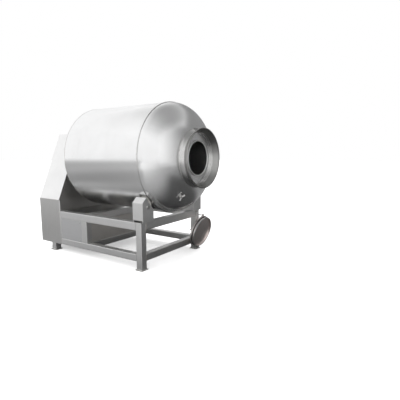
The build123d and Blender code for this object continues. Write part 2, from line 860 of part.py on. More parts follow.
with BuildPart() as lid_handle:
    with BuildLine(Plane(origin=(lid_x, lid_y, lid_z), x_dir=(0, 1, 0), z_dir=(sin(tilt), 0, cos(tilt)))):
        handle_path = FilletPolyline(
            (-handle_span / 2, plate_back),
            (-handle_span / 2, plate_back + handle_reach),
            (handle_span / 2, plate_back + handle_reach),
            (handle_span / 2, plate_back),
            radius=handle_bend,
        )
    with BuildSketch(Plane(origin=handle_path @ 0, z_dir=handle_path % 0)):
        Circle(handle_radius)
    sweep()
keep(lid_handle, "lid_handle")

with BuildPart() as lid_hanger:
    with BuildLine(Plane(origin=(front_x, lid_y, hanger_z), x_dir=(1, 0, 0), z_dir=(0, -1, 0))):
        hanger_path = FilletPolyline(
            (0, hanger_rise),
            (hanger_kick, hanger_rise),
            (hanger_kick, 0),
            (hanger_length, 0),
            radius=hanger_bend,
        )
    with BuildSketch(Plane(origin=hanger_path @ 0, z_dir=hanger_path % 0)):
        Circle(hanger_radius)
    sweep()
keep(lid_hanger, "lid_hanger")
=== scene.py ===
import json
import math
import random

import bpy
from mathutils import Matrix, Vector


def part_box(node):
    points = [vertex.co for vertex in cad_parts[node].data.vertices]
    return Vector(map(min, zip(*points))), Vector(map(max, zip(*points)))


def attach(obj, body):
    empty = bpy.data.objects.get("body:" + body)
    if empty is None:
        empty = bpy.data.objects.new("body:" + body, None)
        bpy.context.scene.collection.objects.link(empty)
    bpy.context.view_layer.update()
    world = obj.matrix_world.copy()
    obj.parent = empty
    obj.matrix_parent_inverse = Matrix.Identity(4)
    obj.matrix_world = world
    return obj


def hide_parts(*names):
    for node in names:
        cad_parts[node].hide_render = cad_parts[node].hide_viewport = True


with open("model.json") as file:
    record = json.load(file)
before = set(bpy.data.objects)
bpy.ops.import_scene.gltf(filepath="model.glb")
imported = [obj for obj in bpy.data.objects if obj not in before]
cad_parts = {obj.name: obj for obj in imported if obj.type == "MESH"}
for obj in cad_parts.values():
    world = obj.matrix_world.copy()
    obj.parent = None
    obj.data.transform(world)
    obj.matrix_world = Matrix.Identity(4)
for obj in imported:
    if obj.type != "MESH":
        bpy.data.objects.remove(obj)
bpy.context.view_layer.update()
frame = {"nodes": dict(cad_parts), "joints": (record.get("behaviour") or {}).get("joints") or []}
nodes = frame["nodes"]
random.seed(11)
print("frame loaded:", len(nodes), "nodes")

# camera at the photo's angle
cameraView = dict(place=(3.2555, -3.1958, 1.2776), yaw=0.57694, pitch=0.13943, focalPixels=343.08,
                  framePixels=400, sensor=36.0)


def makeCamera(s):
    data = bpy.data.cameras.new("photoCamera")
    data.sensor_fit = "HORIZONTAL"
    data.sensor_width = s["sensor"]
    data.lens = s["focalPixels"] / s["framePixels"] * s["sensor"]
    camera = bpy.data.objects.new("photoCamera", data)
    flat = math.cos(s["pitch"])
    look = Vector((-math.sin(s["yaw"]) * flat, math.cos(s["yaw"]) * flat, -math.sin(s["pitch"])))
    camera.location = s["place"]
    camera.rotation_euler = look.to_track_quat("-Z", "Y").to_euler()
    bpy.context.scene.collection.objects.link(camera)
    bpy.context.scene.camera = camera


# studio: white sky and floor, soft lamps, and soft-edged flags that only the metal sees; the flags' grey and
# dark tones are painted reflections, standing in for a darker room around the machine and for the shadow
# under it
studio = dict(sky=1.0, floorSize=90.0, floorWhite=0.985, floorGlow=0.45, cardSteps=48, cardRough=0.9)
lamps = {
    "keySoftbox": dict(place=(-2.6, -4.6, 4.6), aim=(0.0, 0.0, 1.1), size=(4.6, 3.4), power=130.0),
    "topSoftbox": dict(place=(0.2, 0.4, 5.4), aim=(0.2, 0.0, 1.0), size=(4.4, 3.4), power=80.0),
}
flags = {
    "floorFlag": dict(place=(0.0, 0.0, 0.003), aim=(0.0, 0.0, 1.0), size=(44.0, 44.0),
                      shade=0.30, rim=0.80, soft=(0.42, 0.42)),
    "paleFlag": dict(place=(12.8, -15.3, 0.005), aim=(12.8, -15.3, 1.0), size=(33.2, 29.4),
                     shade=0.92, rim=0.30, soft=(0.105, 0.2)),
    "sideFlag": dict(place=(3.6, 2.8, 0.007), aim=(3.6, 2.8, 1.0), size=(6.0, 7.4),
                     shade=0.12, rim=0.30, soft=(0.25, 0.25)),
    # shellFlag darkens the drum's lower side: painted shade in its reflection
    "shellFlag": dict(place=(-1.5, -1.5, 0.006), aim=(-1.5, -1.5, 1.0), size=(3.8, 3.6),
                      shade=0.20, rim=0.30, soft=(0.45, 0.45)),
    # underFlag is a dark card under the machine: painted shadow that the metal reflects
    "underFlag": dict(place=(1.6, 0.5, 0.009), aim=(1.6, 0.5, 1.0), size=(6.4, 3.2),
                      shade=0.06, rim=0.30, soft=(0.3, 0.3)),
    "backFlag": dict(place=(4.4, 5.6, 3.0), aim=(4.4, 0.0, 3.0), size=(21.0, 14.0),
                     shade=0.24, rim=0.92, soft=(0.25, 0.3)),
    "rightFlag": dict(place=(7.6, 6.5, 3.0), aim=(0.0, 6.5, 3.0), size=(21.0, 14.0),
                      shade=0.24, rim=0.92, soft=(0.4, 0.3)),
    "ceilingFlag": dict(place=(2.6, 1.2, 7.0), aim=(2.6, 1.2, 0.0), size=(19.8, 19.0),
                        shade=0.33, rim=0.99, soft=(0.38, 0.48)),
}


def newNode(tree, kind, **values):
    node = tree.nodes.new(kind)
    for name, value in values.items():
        setattr(node, name, value)
    return node


def mathNode(tree, operation, first, second=None, clamp=False):
    node = newNode(tree, "ShaderNodeMath", operation=operation, use_clamp=clamp)
    for index, value in enumerate((first, second)):
        if value is None:
            continue
        if isinstance(value, (int, float)):
            node.inputs[index].default_value = value
        else:
            tree.links.new(value, node.inputs[index])
    return node.outputs[0]


def makeWorld(s):
    world = bpy.data.worlds.new("studioWorld")
    bpy.context.scene.world = world
    world.use_nodes = True
    back = world.node_tree.nodes["Background"]
    back.inputs["Color"].default_value = (1, 1, 1, 1)
    back.inputs["Strength"].default_value = s["sky"]


def flatCard(name, place, normal, size, shade, rim, soft):  # its middle has shade, its edges rim
    mesh = bpy.data.meshes.new(name)
    turn = Vector(normal).to_track_quat("Z", "Y").to_matrix()
    steps = studio["cardSteps"]
    shares = [i / steps for i in range(steps + 1)]
    points = [(u, v) for v in shares for u in shares]
    row = steps + 1
    corners = [j * row + i for j in range(steps) for i in range(steps)]
    faces = [(c, c + 1, c + row + 1, c + row) for c in corners]
    spots = [Vector(place) + turn @ Vector(((u - 0.5) * size[0], (v - 0.5) * size[1], 0)) for u, v in points]
    mesh.from_pydata(spots, [], faces)
    layer = mesh.color_attributes.new("shade", "FLOAT_COLOR", "POINT")
    for item, (u, v) in zip(layer.data, points):
        near = min(1.0, min(u, 1 - u) / soft[0]) * min(1.0, min(v, 1 - v) / soft[1])
        tone = rim + (shade - rim) * near * near * (3 - 2 * near)
        item.color = (tone, tone, tone, 1)
    card = bpy.data.objects.new(name, mesh)
    bpy.context.scene.collection.objects.link(card)
    mesh.materials.append(cardPaint)
    return card


def makeCardPaint(s):
    material = bpy.data.materials.new("cardPaint")
    material.use_nodes = True
    tree = material.node_tree
    shader = tree.nodes["Principled BSDF"]
    tone = newNode(tree, "ShaderNodeVertexColor", layer_name="shade")
    tree.links.new(tone.outputs["Color"], shader.inputs["Base Color"])
    shader.inputs["Roughness"].default_value = s["cardRough"]
    shader.inputs["Specular IOR Level"].default_value = 0.0
    return material


def makeFloorPaper(s):
    material = cardPaint.copy()
    material.name = "floorPaper"
    tree = material.node_tree
    shader = tree.nodes["Principled BSDF"]
    path = newNode(tree, "ShaderNodeLightPath")
    seen = mathNode(tree, "ADD", path.outputs["Is Camera Ray"], path.outputs["Is Glossy Ray"])
    seen = mathNode(tree, "ADD", seen, path.outputs["Is Transmission Ray"], clamp=True)
    shader.inputs["Emission Color"].default_value = (1, 1, 1, 1)
    tree.links.new(mathNode(tree, "MULTIPLY", seen, s["floorGlow"]), shader.inputs["Emission Strength"])
    return material


def makeStudio(s):
    makeWorld(s)
    size = (s["floorSize"], s["floorSize"])
    white = s["floorWhite"]
    floor = flatCard("studioFloor", (0, 0, 0), (0, 0, 1), size, white, white, (0.1, 0.1))
    floor.data.materials[0] = makeFloorPaper(s)
    for name, flag in flags.items():
        toward = Vector(flag["aim"]) - Vector(flag["place"])
        card = flatCard(name, flag["place"], toward, flag["size"], flag["shade"], flag["rim"], flag["soft"])
        card.visible_camera = False
        card.visible_diffuse = False
        card.visible_shadow = False
    for name, lamp in lamps.items():
        data = bpy.data.lights.new(name, "AREA")
        data.shape = "RECTANGLE"
        data.size, data.size_y = lamp["size"]
        data.energy = lamp["power"]
        light = bpy.data.objects.new(name, data)
        light.location = lamp["place"]
        aim = Vector(lamp["aim"]) - Vector(lamp["place"])
        light.rotation_euler = aim.to_track_quat("-Z", "Y").to_euler()
        light.visible_glossy = False  # the white sky stands in for it on metal, without hard edges
        bpy.context.scene.collection.objects.link(light)


cardPaint = makeCardPaint(studio)
makeCamera(cameraView)
makeStudio(studio)
bpy.context.scene.view_settings.view_transform = "Standard"
print("camera and studio ready")


# shared effects, each one node group
def startGroup(name, inputs, outputs):
    group = bpy.data.node_groups.new(name, "ShaderNodeTree")
    for label, value in inputs:
        kind = "NodeSocketVector" if isinstance(value, tuple) else "NodeSocketFloat"
        socket = group.interface.new_socket(label, in_out="INPUT", socket_type=kind)
        socket.default_value = value
    for label, kind in outputs:
        group.interface.new_socket(label, in_out="OUTPUT", socket_type=kind)
    return group, newNode(group, "NodeGroupInput"), newNode(group, "NodeGroupOutput")


def noiseNode(tree, vector, scale, detail, rough=0.5):
    node = newNode(tree, "ShaderNodeTexNoise")
    tree.links.new(vector, node.inputs["Vector"])
    tree.links.new(scale, node.inputs["Scale"])
    node.inputs["Detail"].default_value = detail
    node.inputs["Roughness"].default_value = rough
    return node.outputs["Fac"]


def objectPoint(tree):
    return newNode(tree, "ShaderNodeTexCoord").outputs["Object"]


brushLines = dict(detail=3.0, rough=0.6, streakDetail=2.0, straightShare=0.13, roundShare=0.1, turnShare=0.02)
smudges = dict(detail=4.0, rough=0.62, low=0.38, high=0.66, speckTimes=60.0, speckDetail=1.0)
edgeSense = dict(samples=4, flat=0.998, sharp=0.90)


def straightGrain(s=brushLines):  # brush lines along one direction of the sheet or tube
    group, given, made = startGroup("straightGrain", [("Stretch", (1.0, 1.0, 1.0)), ("Scale", 400.0)],
                                    [("Height", "NodeSocketFloat"), ("Streak", "NodeSocketFloat")])
    scaled = newNode(group, "ShaderNodeVectorMath", operation="MULTIPLY")
    group.links.new(objectPoint(group), scaled.inputs[0])
    group.links.new(given.outputs["Stretch"], scaled.inputs[1])
    fine = noiseNode(group, scaled.outputs[0], given.outputs["Scale"], s["detail"], s["rough"])
    wide = mathNode(group, "MULTIPLY", given.outputs["Scale"], s["straightShare"])
    coarse = noiseNode(group, scaled.outputs[0], wide, s["streakDetail"])
    group.links.new(fine, made.inputs["Height"])
    group.links.new(coarse, made.inputs["Streak"])
    return group


def roundGrain(s=brushLines):  # brush lines round an axis, on the drum and on the lid
    group, given, made = startGroup(
        "roundGrain", [("Centre", (0.0, 0.0, 0.0)), ("Turn", (0.0, 0.0, 0.0)), ("Scale", 260.0)],
        [("Height", "NodeSocketFloat"), ("Streak", "NodeSocketFloat")])
    moved = newNode(group, "ShaderNodeVectorMath", operation="SUBTRACT")
    group.links.new(objectPoint(group), moved.inputs[0])
    group.links.new(given.outputs["Centre"], moved.inputs[1])
    turned = newNode(group, "ShaderNodeVectorRotate", rotation_type="EULER_XYZ")
    group.links.new(moved.outputs[0], turned.inputs["Vector"])
    group.links.new(given.outputs["Turn"], turned.inputs["Rotation"])
    split = newNode(group, "ShaderNodeSeparateXYZ")
    group.links.new(turned.outputs[0], split.inputs[0])
    x, y, z = split.outputs
    radius = mathNode(group, "SQRT", mathNode(group, "ADD", mathNode(group, "MULTIPLY", y, y),
                                              mathNode(group, "MULTIPLY", z, z)))
    angle = mathNode(group, "ARCTAN2", z, y)
    joined = newNode(group, "ShaderNodeCombineXYZ")
    group.links.new(mathNode(group, "ADD", x, radius), joined.inputs[0])
    group.links.new(mathNode(group, "MULTIPLY", angle, s["turnShare"]), joined.inputs[1])
    fine = noiseNode(group, joined.outputs[0], given.outputs["Scale"], s["detail"], s["rough"])
    wide = mathNode(group, "MULTIPLY", given.outputs["Scale"], s["roundShare"])
    coarse = noiseNode(group, joined.outputs[0], wide, s["streakDetail"])
    group.links.new(fine, made.inputs["Height"])
    group.links.new(coarse, made.inputs["Streak"])
    return group


def handlingMarks(s=smudges):  # cloudy smudges and wiped patches
    group, given, made = startGroup("handlingMarks", [("Scale", 3.0)],
                                    [("Smudge", "NodeSocketFloat"), ("Speck", "NodeSocketFloat")])
    point = objectPoint(group)
    cloud = noiseNode(group, point, given.outputs["Scale"], s["detail"], s["rough"])
    smudge = newNode(group, "ShaderNodeMapRange")
    smudge.inputs["From Min"].default_value = s["low"]
    smudge.inputs["From Max"].default_value = s["high"]
    group.links.new(cloud, smudge.inputs["Value"])
    group.links.new(smudge.outputs["Result"], made.inputs["Smudge"])
    small = mathNode(group, "MULTIPLY", given.outputs["Scale"], s["speckTimes"])
    group.links.new(noiseNode(group, point, small, s["speckDetail"]), made.inputs["Speck"])
    return group


def softEdge(s=edgeSense):  # rounded look, and bright wear with a painted highlight on sharp edges
    group, given, made = startGroup("softEdge", [("Radius", 0.003)],
                                    [("Normal", "NodeSocketVector"), ("Edge", "NodeSocketFloat")])
    bevel = newNode(group, "ShaderNodeBevel", samples=s["samples"])
    group.links.new(given.outputs["Radius"], bevel.inputs["Radius"])
    flat = newNode(group, "ShaderNodeNewGeometry")
    dot = newNode(group, "ShaderNodeVectorMath", operation="DOT_PRODUCT")
    group.links.new(bevel.outputs["Normal"], dot.inputs[0])
    group.links.new(flat.outputs["Normal"], dot.inputs[1])
    edge = newNode(group, "ShaderNodeMapRange")
    edge.inputs["From Min"].default_value = s["flat"]
    edge.inputs["From Max"].default_value = s["sharp"]
    group.links.new(dot.outputs["Value"], edge.inputs["Value"])
    group.links.new(edge.outputs["Result"], made.inputs["Edge"])
    group.links.new(bevel.outputs["Normal"], made.inputs["Normal"])
    return group


effects = {build.__name__: build() for build in (straightGrain, roundGrain, handlingMarks, softEdge)}
print("effects ready:", ", ".join(effects))


def placeEffect(tree, name, **values):
    node = newNode(tree, "ShaderNodeGroup", node_tree=effects[name])
    for label, value in values.items():
        node.inputs[label].default_value = value
    return node


def blendColor(tree, factor, first, second):
    node = newNode(tree, "ShaderNodeMix", data_type="RGBA")
    tree.links.new(factor, node.inputs["Factor"])
    for value, socket in ((first, node.inputs[6]), (second, node.inputs[7])):
        if isinstance(value, tuple):
            socket.default_value = (*value, 1)
        else:
            tree.links.new(value, socket)
    return node.outputs[2]


def spread(tree, value, low, high):
    node = newNode(tree, "ShaderNodeMapRange")
    tree.links.new(value, node.inputs["Value"])
    node.inputs["To Min"].default_value = low
    node.inputs["To Max"].default_value = high
    return node.outputs["Result"]


# steel finishes; along or around says which way the brush ran; several are lighter or darker copies of one
# steel, with light and shade painted into their colour as noted below
steelFinishes = {
    # drumShell is the drum steel made lighter than the steel's own tone: painted light that brightens its
    # reflections
    "drumShell": dict(color=(0.91, 0.912, 0.915), dull=(0.85, 0.85, 0.85), rough=(0.20, 0.27),
                      around="drum", bump=0.02),
    # neckSteel and collarSteel are darker copies of the drum steel: painted shade on the neck, painted dark
    # reflection in the collar's flare
    "neckSteel": dict(color=(0.64, 0.638, 0.63), dull=(0.60, 0.598, 0.59), rough=(0.14, 0.19),
                      around="drum", bump=0.02),
    "collarSteel": dict(color=(0.40, 0.398, 0.39), dull=(0.37, 0.368, 0.36), rough=(0.27, 0.32),
                        around="drum", bump=0.02),
    "drumInside": dict(color=(0.60, 0.59, 0.57), dull=(0.52, 0.51, 0.49), rough=(0.32, 0.42),
                       around="drum", bump=0.02),
    # the tube steel comes in lit and shaded copies: the side rails along X and the legs along Z are lighter
    # as painted light, the cross rails along Y darker as painted shade
    "tubeAlongX": dict(color=(0.82, 0.82, 0.82), dull=(0.76, 0.758, 0.755), rough=(0.36, 0.48),
                       along="X", bump=0.05),
    "tubeAlongY": dict(color=(0.76, 0.76, 0.755), dull=(0.70, 0.698, 0.69), rough=(0.36, 0.48),
                       along="Y", bump=0.05),
    "tubeAlongZ": dict(color=(0.83, 0.83, 0.825), dull=(0.77, 0.768, 0.76), rough=(0.36, 0.48),
                       along="Z", bump=0.05),
    "sheetUpright": dict(color=(0.69, 0.687, 0.68), dull=(0.63, 0.627, 0.62), rough=(0.33, 0.45),
                         along="Z", bump=0.05),
    "sheetLevel": dict(color=(0.66, 0.655, 0.64), dull=(0.60, 0.595, 0.58), rough=(0.33, 0.45),
                       along="X", bump=0.05),
    # hoodSheet is a much lighter copy of the sheet: painted light on the hood's upward slopes
    "hoodSheet": dict(color=(0.93, 0.93, 0.93), dull=(0.87, 0.87, 0.87), rough=(0.33, 0.45),
                      along="Z", bump=0.05),
    # boxSheet is a lighter copy: painted light on the roller boxes
    "boxSheet": dict(color=(0.82, 0.82, 0.815), dull=(0.76, 0.76, 0.755), rough=(0.36, 0.46),
                     along="Z", bump=0.05),
    # bulkheadSheet is lighter and rougher: painted light that lifts the bulkhead out of its shade
    "bulkheadSheet": dict(color=(0.82, 0.80, 0.77), dull=(0.76, 0.74, 0.71), rough=(0.48, 0.58),
                          along="Z", bump=0.05),
    "panelSheet": dict(color=(0.76, 0.765, 0.775), dull=(0.71, 0.712, 0.72), rough=(0.36, 0.46),
                       along="X", bump=0.05),
    # plateSheet is a darker copy: painted shade on the hood front plate, and a dimmed highlight on the roller
    # axles and the valve body
    "plateSheet": dict(color=(0.56, 0.555, 0.545), dull=(0.50, 0.495, 0.485), rough=(0.34, 0.46),
                       along="Z", bump=0.05),
    # deckSheet is darker still: painted shade on the deck under the drum
    "deckSheet": dict(color=(0.40, 0.395, 0.385), dull=(0.34, 0.335, 0.325), rough=(0.30, 0.42),
                      along="X", bump=0.05),
    # lidFace: the brownish tint is the lid's own colour; its tone is raised as painted light that lifts the
    # lid out of a dark reflection
    "lidFace": dict(color=(0.94, 0.875, 0.85), dull=(0.87, 0.81, 0.785), rough=(0.36, 0.46),
                    around="lid", bump=0.04),
    # gripSteel is a lighter copy of the turned steel: painted highlight on the mouth lip, the lid rim and the
    # lever grips
    "gripSteel": dict(color=(0.90, 0.90, 0.89), dull=(0.84, 0.84, 0.83), rough=(0.38, 0.5),
                      along="Y", bump=0.03),
    "turnedSteel": dict(color=(0.74, 0.73, 0.72), dull=(0.66, 0.65, 0.64), rough=(0.2, 0.32),
                        along="Y", bump=0.03),
}
steelDetail = dict(roundScale=240.0, straightScale=420.0, markScale=2.6, edgeRadius=0.004, edgeWearAndSheen=0.5,
                   wearAndSheenColor=(0.80, 0.79, 0.78), streakLeast=0.3, smudgeShare=0.6, streakShare=0.4,
                   bumpDepth=0.002)
grainStretch = dict(X=(0.02, 1.0, 1.0), Y=(1.0, 0.02, 1.0), Z=(1.0, 1.0, 0.02))
lidLow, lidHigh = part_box("lid_disc")
lidTilt = math.radians(14)
drumLow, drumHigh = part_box("drum_cylinder")
grainCentres = dict(
    drum=dict(Centre=(0.0, 0.0, (drumLow.z + drumHigh.z) / 2)),
    lid=dict(Centre=tuple((lidLow + lidHigh) / 2), Turn=(0.0, -lidTilt, 0.0)),
)


def makeSteel(name, s, d):
    material = bpy.data.materials.new(name)
    material.use_nodes = True
    tree = material.node_tree
    shader = tree.nodes["Principled BSDF"]
    shader.inputs["Metallic"].default_value = 1.0
    if "around" in s:
        grain = placeEffect(tree, "roundGrain", Scale=d["roundScale"], **grainCentres[s["around"]])
    else:
        grain = placeEffect(tree, "straightGrain", Scale=d["straightScale"], Stretch=grainStretch[s["along"]])
    marks = placeEffect(tree, "handlingMarks", Scale=d["markScale"])
    edges = placeEffect(tree, "softEdge", Radius=d["edgeRadius"])
    smudge, streak = marks.outputs["Smudge"], grain.outputs["Streak"]
    tone = mathNode(tree, "MULTIPLY", smudge, spread(tree, streak, d["streakLeast"], 1.0))
    base = blendColor(tree, tone, s["color"], s["dull"])
    # sharp edges blend toward a pale tone: rubbed wear together with a painted highlight
    rubbedAndSheen = mathNode(tree, "MULTIPLY", edges.outputs["Edge"], d["edgeWearAndSheen"])
    tree.links.new(blendColor(tree, rubbedAndSheen, base, d["wearAndSheenColor"]), shader.inputs["Base Color"])
    mixed = mathNode(tree, "ADD", mathNode(tree, "MULTIPLY", smudge, d["smudgeShare"]),
                     mathNode(tree, "MULTIPLY", streak, d["streakShare"]))
    tree.links.new(spread(tree, mixed, *s["rough"]), shader.inputs["Roughness"])
    bump = newNode(tree, "ShaderNodeBump")
    bump.inputs["Strength"].default_value = s["bump"]
    bump.inputs["Distance"].default_value = d["bumpDepth"]
    tree.links.new(grain.outputs["Height"], bump.inputs["Height"])
    tree.links.new(edges.outputs["Normal"], bump.inputs["Normal"])
    tree.links.new(bump.outputs["Normal"], shader.inputs["Normal"])
    return material


# finishes that aren't bare steel
otherFinishes = {
    "rollerNylon": dict(color=(0.84, 0.83, 0.79), worn=(0.70, 0.68, 0.63),
                        rough=(0.38, 0.55), metal=0.0, bump=0.10),
    "gasketRubber": dict(color=(0.030, 0.030, 0.032), worn=(0.07, 0.07, 0.07),
                         rough=(0.55, 0.75), metal=0.0, bump=0.15),
    "drivePaint": dict(color=(0.16, 0.20, 0.25), worn=(0.22, 0.26, 0.30),
                       rough=(0.35, 0.5), metal=0.0, bump=0.08),
    "unionBrass": dict(color=(0.72, 0.55, 0.28), worn=(0.55, 0.41, 0.20),
                       rough=(0.25, 0.4), metal=1.0, bump=0.05),
    "glandNylon": dict(color=(0.035, 0.035, 0.037), worn=(0.08, 0.08, 0.08),
                       rough=(0.42, 0.6), metal=0.0, bump=0.10),
    "weldBead": dict(color=(0.58, 0.56, 0.53), worn=(0.40, 0.37, 0.33),
                     rough=(0.36, 0.55), metal=1.0, bump=0.45),
}
otherDetail = dict(markScale=9.0, edgeRadius=0.002, bumpDepth=0.001)


def makeOther(name, s, d):
    material = bpy.data.materials.new(name)
    material.use_nodes = True
    tree = material.node_tree
    shader = tree.nodes["Principled BSDF"]
    shader.inputs["Metallic"].default_value = s["metal"]
    marks = placeEffect(tree, "handlingMarks", Scale=d["markScale"])
    edges = placeEffect(tree, "softEdge", Radius=d["edgeRadius"])
    base = blendColor(tree, marks.outputs["Smudge"], s["color"], s["worn"])
    tree.links.new(base, shader.inputs["Base Color"])
    tree.links.new(spread(tree, marks.outputs["Smudge"], *s["rough"]), shader.inputs["Roughness"])
    bump = newNode(tree, "ShaderNodeBump")
    bump.inputs["Strength"].default_value = s["bump"]
    bump.inputs["Distance"].default_value = d["bumpDepth"]
    tree.links.new(marks.outputs["Speck"], bump.inputs["Height"])
    tree.links.new(edges.outputs["Normal"], bump.inputs["Normal"])
    tree.links.new(bump.outputs["Normal"], shader.inputs["Normal"])
    return material


finish = {name: makeSteel(name, s, steelDetail) for name, s in steelFinishes.items()}
finish.update({name: makeOther(name, s, otherDetail) for name, s in otherFinishes.items()})
print("finishes ready:", len(finish))

# which finish each CAD node wears; the first matching start of a name counts
nodeFinish = (
    ("leg_", "tubeAlongZ"), ("side_post", "tubeAlongZ"), ("foot_plates", "sheetLevel"),
    ("side_rail", "tubeAlongX"), ("front_rail", "tubeAlongY"), ("bay_rail", "tubeAlongY"),
    ("rear_rail", "tubeAlongY"), ("side_panel", "panelSheet"), ("bulkhead", "bulkheadSheet"),
    ("deck", "deckSheet"), ("pump_floor", "sheetLevel"), ("housing_side", "sheetUpright"),
    ("rear_panel", "sheetUpright"), ("hood_front", "plateSheet"), ("hood_", "hoodSheet"),
    ("roller_box", "boxSheet"), ("roller_axle", "plateSheet"), ("roller_tyre", "rollerNylon"),
    ("shaft_bearing", "drivePaint"), ("gear_reducer", "drivePaint"), ("drive_motor", "drivePaint"),
    ("vacuum_pump", "drivePaint"), ("rotary_union", "unionBrass"), ("cable_gland", "glandNylon"),
    ("lid_gasket", "gasketRubber"), ("lid_disc", "lidFace"), ("lifting_flights", "drumInside"),
    ("drum_", "drumShell"), ("front_head", "drumShell"), ("rear_head", "drumShell"),
    ("seam_band", "drumShell"), ("neck_ring", "neckSteel"), ("mouth_collar", "collarSteel"),
    ("mouth_", "drumShell"), ("valve_body", "plateSheet"), ("", "turnedSteel"),
)
for name, node in nodes.items():
    chosen = next(look for start, look in nodeFinish if name.startswith(start))
    node.data.materials.clear()
    node.data.materials.append(finish[chosen])
print("CAD nodes dressed")


# small pieces that the solids leave out, all built as meshes
def makePiece(name, points, faces, look, body, smooth=True):
    mesh = bpy.data.meshes.new(name)
    mesh.from_pydata([tuple(p) for p in points], [], faces)
    mesh.validate()
    for polygon in mesh.polygons:
        polygon.use_smooth = smooth
    piece = bpy.data.objects.new(name, mesh)
    bpy.context.scene.collection.objects.link(piece)
    mesh.materials.append(finish[look])
    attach(piece, body)
    return piece


def joinShapes(shapes):
    points, faces = [], []
    for shapePoints, shapeFaces in shapes:
        start = len(points)
        points += shapePoints
        faces += [tuple(start + i for i in face) for face in shapeFaces]
    return points, faces


def loftFaces(rings, steps):  # quads between rings of points that follow each other
    faces = []
    for ring in range(rings):
        for step in range(steps):
            a, b, beside = ring * steps, (ring + 1) * steps, (step + 1) % steps
            faces.append((a + step, a + beside, b + beside, b + step))
    return faces


beadForm = dict(helper=(0.31, 0.22, 0.93), wave=2.1, scatter=0.4)


def sweptBead(path, radius, sides, ripple, closed):  # a bead: rippled round section along a path
    points, faces = [], []
    count = len(path)
    helper, wave, scatter = Vector(beadForm["helper"]), beadForm["wave"], beadForm["scatter"]
    for index, spot in enumerate(path):
        after = path[(index + 1) % count] if closed or index < count - 1 else spot
        before = path[index - 1] if closed or index > 0 else spot
        along = (after - before).normalized()
        side = along.cross(helper).normalized()
        up = side.cross(along)
        size = radius * (1 + ripple * math.sin(index * wave) + ripple * random.uniform(-scatter, scatter))
        for step in range(sides):
            turn = 2 * math.pi * step / sides
            points.append(spot + (side * math.cos(turn) + up * math.sin(turn)) * size)
    for index in range(count if closed else count - 1):
        first, second = index * sides, (index + 1) % count * sides
        for step in range(sides):
            beside = (step + 1) % sides
            faces.append((first + step, first + beside, second + beside, second + step))
    if not closed:
        faces.append(tuple(range(sides - 1, -1, -1)))
        faces.append(tuple(range((count - 1) * sides, count * sides)))
    return points, faces


def straightPath(start, end, pitch):
    count = max(2, int((end - start).length / pitch))
    return [start.lerp(end, i / (count - 1)) for i in range(count)]


def ringPath(x, radius, pitch):
    count = int(2 * math.pi * radius / pitch)
    turns = [2 * math.pi * i / count for i in range(count)]
    return [Vector((x, radius * math.cos(t), axisZ + radius * math.sin(t))) for t in turns]


axisZ = (drumLow.z + drumHigh.z) / 2
tubeWelds = dict(radius=0.0032, sides=6, ripple=0.16, pitch=0.004, cornerTrim=0.006)


def makeTubeWelds(s):
    shapes = []
    across = {0: (1, 2), 1: (0, 2), 2: (0, 1)}
    for name in nodes:
        if not name.startswith(("side_rail", "front_rail", "bay_rail", "rear_rail", "side_post")):
            continue
        low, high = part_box(name)
        run = 0 if name.startswith("side_rail") else 2 if name.startswith("side_post") else 1
        first, second = across[run]
        outer = (low if abs(low.y) > abs(high.y) else high).y
        for end in (low[run], high[run]):
            corners = []
            for a, b in ((low, low), (high, low), (high, high), (low, high)):
                corner = Vector((0, 0, 0))
                corner[run], corner[first], corner[second] = end, a[first], b[second]
                corners.append(corner)
            for index, corner in enumerate(corners):
                after = corners[(index + 1) % 4]
                if run != 1 and abs(corner.y - outer) < 1e-6 and abs(after.y - outer) < 1e-6:
                    continue  # outer faces are ground flush
                inset = (after - corner).normalized() * s["cornerTrim"]
                path = straightPath(corner + inset, after - inset, s["pitch"])
                shapes.append(sweptBead(path, s["radius"], s["sides"], s["ripple"], False))
    points, faces = joinShapes(shapes)
    makePiece("tubeWelds", points, faces, "weldBead", "frame")


makeTubeWelds(tubeWelds)

# ring welds and the long seam of the drum
neckLow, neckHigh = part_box("neck_ring")
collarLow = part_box("mouth_collar")[0]
seatLow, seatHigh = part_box("mouth_seat")
drumRadius = (drumHigh.z - drumLow.z) / 2
neckFootRadius = (neckHigh.z - neckLow.z) / 2
hubLow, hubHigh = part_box("rear_hub")
drumWelds = dict(radius=0.0030, sides=6, ripple=0.12, groundRipple=0.02, pitch=0.010, sink=0.0016,
                 neckRadius=0.291, headDepth=0.352, bandBack=0.002, bandRise=0.004, seatBack=0.010,
                 hubBack=0.034, seamTurn=48, trackGap=0.008, roughRings=("rearHeadWeld", "hubWeld"))


